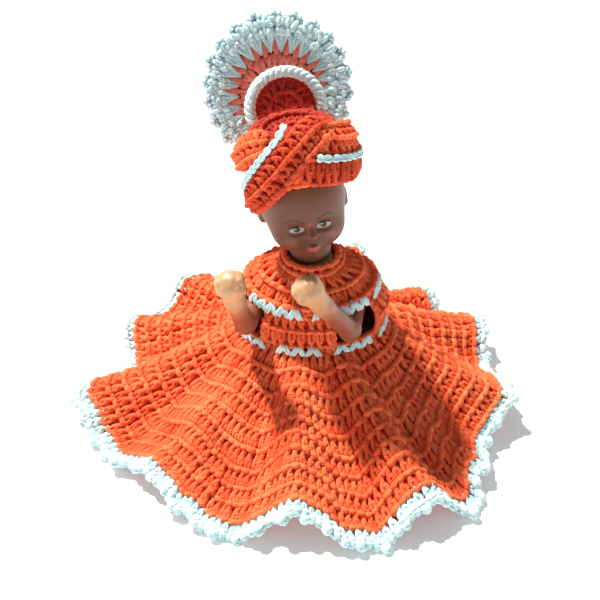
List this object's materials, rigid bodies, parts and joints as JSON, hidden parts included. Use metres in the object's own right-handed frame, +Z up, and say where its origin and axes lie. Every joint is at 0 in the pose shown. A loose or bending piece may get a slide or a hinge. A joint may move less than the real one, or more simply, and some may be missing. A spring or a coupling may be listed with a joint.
{
  "type": "jointed doll",
  "caption": "Jointed doll in a wide ruffled crocheted skirt, with a crossed-band turban and a round fan crest; head, arms and legs turn and the turban lifts off.",
  "frame": {"origin": "on the ground, under the middle of the whole object's bounding box", "axes": "+Z up, the doll faces -Y, +X is the doll's left"},
  "size_m": [0.2049, 0.2022, 0.1789],
  "materials": {
    "doll_plastic": "moulded, satin, painted face",
    "orange_yarn": "crocheted acrylic yarn",
    "white_yarn": "crocheted acrylic yarn",
    "red_yarn": "crocheted acrylic yarn",
    "pearl_plastic": "polished"
  },
  "bodies": {
    "torso": {"torso_front": "doll_plastic", "torso_back": "doll_plastic", "yoke": "orange_yarn", "yoke_trim": "white_yarn", "bodice_front": "orange_yarn", "bodice_back": "orange_yarn", "right_sleeve": "orange_yarn", "left_sleeve": "orange_yarn", "waist_trim": "white_yarn", "skirt": "orange_yarn", "hem_border": "white_yarn", "neck_button": "pearl_plastic", "button_loop": "white_yarn"},
    "head": {"head_shell": "doll_plastic", "neck_peg": "doll_plastic"},
    "turban": {"turban_cap": "orange_yarn", "brim_band": "orange_yarn", "diagonal_wrap": "orange_yarn", "side_wrap": "orange_yarn", "crown_roll": "orange_yarn", "side_roll": "orange_yarn", "diagonal_cord": "white_yarn", "side_cord": "white_yarn", "crest_fan": "red_yarn", "crest_border": "white_yarn", "crest_shell": "red_yarn", "crest_shell_rim": "white_yarn"},
    "left_arm": {"left_arm": "doll_plastic"},
    "right_arm": {"right_arm": "doll_plastic"},
    "left_leg": {"left_leg": "doll_plastic"},
    "right_leg": {"right_leg": "doll_plastic"}
  },
  "joints": [
    {"name": "head_turn", "type": "hinge", "parent": "torso", "child": "head", "pos_m": [0.0081, -0.00295, 0.084], "axis": [-0.1392, 0, 0.9903], "range_deg": [-45, 45]},
    {"name": "turban_lift", "type": "slide", "parent": "head", "child": "turban", "axis": [-0.1392, 0, 0.9903], "range_m": [0, 0.05]},
    {"name": "left_arm_swing", "type": "hinge", "parent": "torso", "child": "left_arm", "pos_m": [0.0295, -0.00295, 0.064], "axis": [-1, 0, 0], "range_deg": [-8, 1.5]},
    {"name": "right_arm_swing", "type": "hinge", "parent": "torso", "child": "right_arm", "pos_m": [-0.0133, -0.00295, 0.064], "axis": [-1, 0, 0], "range_deg": [-12, 1.5]},
    {"name": "left_leg_swing", "type": "hinge", "parent": "torso", "child": "left_leg", "pos_m": [0.0259, -0.00295, 0.042], "axis": [-1, 0, 0], "range_deg": [-30, 45]},
    {"name": "right_leg_swing", "type": "hinge", "parent": "torso", "child": "right_leg", "pos_m": [-0.0097, -0.00295, 0.042], "axis": [-1, 0, 0], "range_deg": [-30, 45]}
  ]
}
